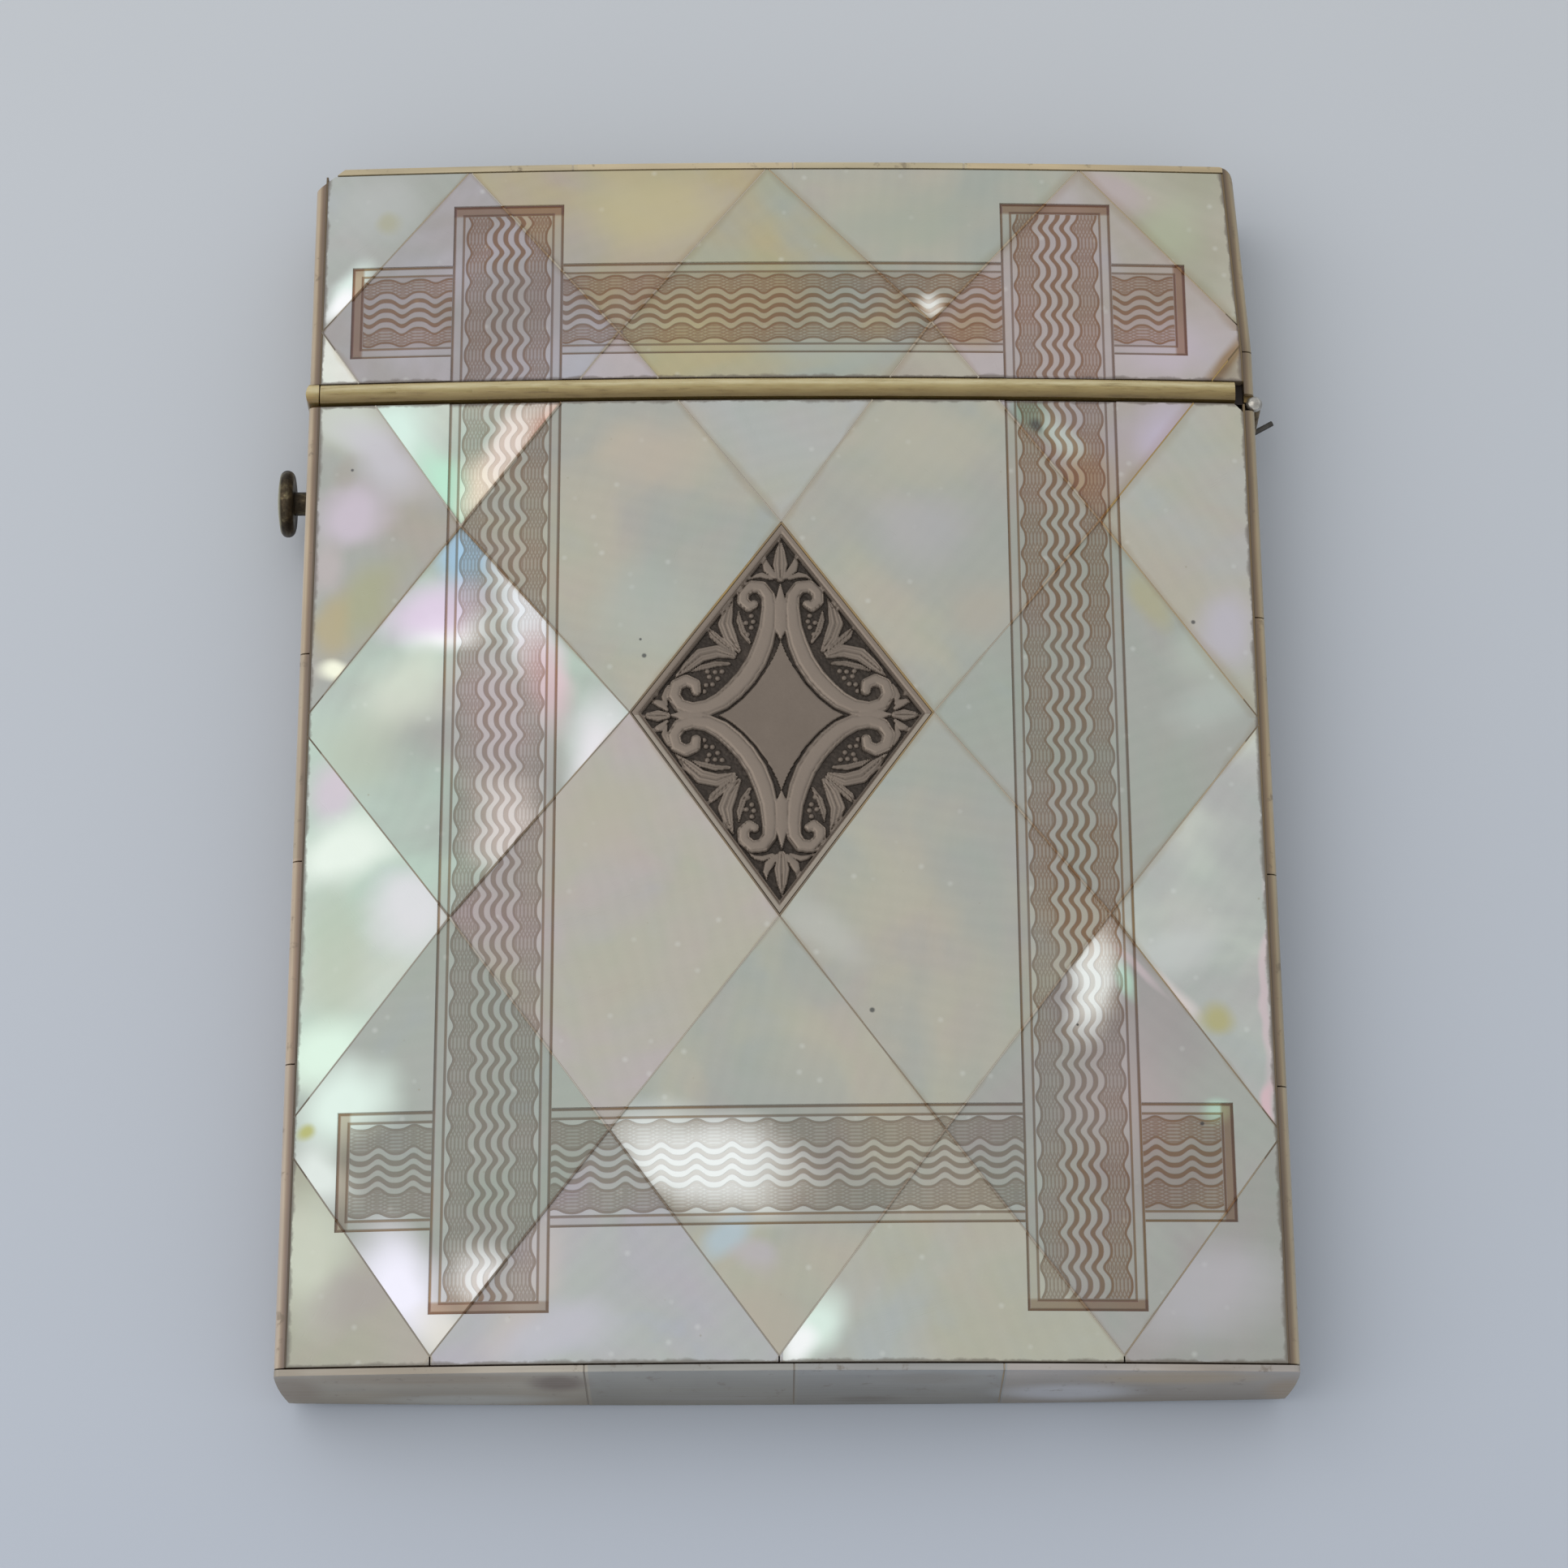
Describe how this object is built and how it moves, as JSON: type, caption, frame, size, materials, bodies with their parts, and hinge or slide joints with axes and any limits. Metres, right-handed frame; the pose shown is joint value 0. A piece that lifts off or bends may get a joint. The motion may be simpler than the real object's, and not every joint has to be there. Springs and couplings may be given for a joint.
{
  "type": "card case",
  "caption": "Flat mother-of-pearl visiting card case with a side-hinged lid, a push-button catch, engraved bands and a silver lozenge plaque.",
  "frame": {"origin": "middle of the foot's end face, halfway through the thickness", "axes": "+X across the case towards the hinge, +Y from the foot to the lid, +Z out of the front face with the plaque; the case lies on its back"},
  "size_m": [0.0808, 0.1016, 0.0105],
  "materials": {
    "body_pearl": "polished mother-of-pearl, grey-green cream with soft pink, green and blue flashes",
    "lid_pearl": "polished mother-of-pearl, a warmer and yellower cream than the body's",
    "edge_pearl": "polished mother-of-pearl in long strips, worn round at the edges",
    "bone": "polished bone, yellowed to cream-tan",
    "face_board": "thin close-grained hardwood, bent and glued, unfinished inside",
    "frame_board": "close-grained hardwood, sawn and planed",
    "sleeve_card": "stiff card covered in faded cream silk",
    "plaque_silver": "tarnished sheet silver, stamped and chased, dark in its recesses",
    "hinge_brass": "old brass, browned",
    "pin_silver": "old silver, polished by the fingers on its head",
    "catch_brass": "sheet brass, rolled hard for a spring",
    "button_metal": "dark tarnished metal, rubbed bright on its crown"
  },
  "bodies": {
    "body": {"body_front_board": "face_board", "body_back_board": "face_board", "body_left_board": "frame_board", "body_right_board": "frame_board", "foot_board": "frame_board", "sleeve_front": "sleeve_card", "sleeve_back": "sleeve_card", "sleeve_left": "sleeve_card", "sleeve_right": "sleeve_card", "sleeve_floor": "sleeve_card", "sleeve_packing": "frame_board", "body_front_pearl_0": "body_pearl", "body_front_pearl_1": "body_pearl", "body_front_pearl_2": "body_pearl", "body_front_pearl_3": "body_pearl", "body_front_pearl_4": "body_pearl", "body_front_pearl_5": "body_pearl", "body_back_pearl_0": "body_pearl", "body_back_pearl_1": "body_pearl", "body_back_pearl_2": "body_pearl", "body_back_pearl_3": "body_pearl", "body_back_pearl_4": "body_pearl", "body_back_pearl_5": "body_pearl", "foot_strips": "edge_pearl", "body_left_strips": "edge_pearl", "body_right_strips": "edge_pearl", "plaque": "plaque_silver", "body_hinge_leaf": "hinge_brass", "body_hinge_nails": "hinge_brass", "spring_rivets": "catch_brass"},
    "catch": {"catch_spring": "catch_brass", "catch_button": "button_metal", "catch_nib": "catch_brass"},
    "lid": {"lid_front_board": "face_board", "lid_back_board": "face_board", "lid_left_board": "frame_board", "lid_right_board": "frame_board", "top_board": "frame_board", "lid_front_pearl_4": "lid_pearl", "lid_front_pearl_5": "lid_pearl", "lid_front_pearl_6": "lid_pearl", "lid_back_pearl_4": "lid_pearl", "lid_back_pearl_5": "lid_pearl", "lid_back_pearl_6": "lid_pearl", "top_strips": "edge_pearl", "lid_left_strip": "edge_pearl", "lid_right_strip": "edge_pearl", "lid_front_rim": "bone", "lid_back_rim": "bone", "lid_left_rim": "bone", "lid_hinge_leaf": "hinge_brass", "lid_hinge_nails": "hinge_brass", "hinge_pin": "pin_silver", "catch_keeper": "catch_brass", "keeper_nails": "catch_brass"}
  },
  "joints": [
    {"name": "lid_hinge", "type": "hinge", "parent": "body", "child": "lid", "pos_m": [0.038, 0.08007, 0], "axis": [0, 0, -1], "range_deg": [0, 100]},
    {"name": "catch_press", "type": "hinge", "parent": "body", "child": "catch", "pos_m": [-0.03595, 0.0504, 0], "axis": [0, 0, -1], "range_deg": [0, 2.26], "stiffness_Nm_per_rad": 0.5}
  ]
}
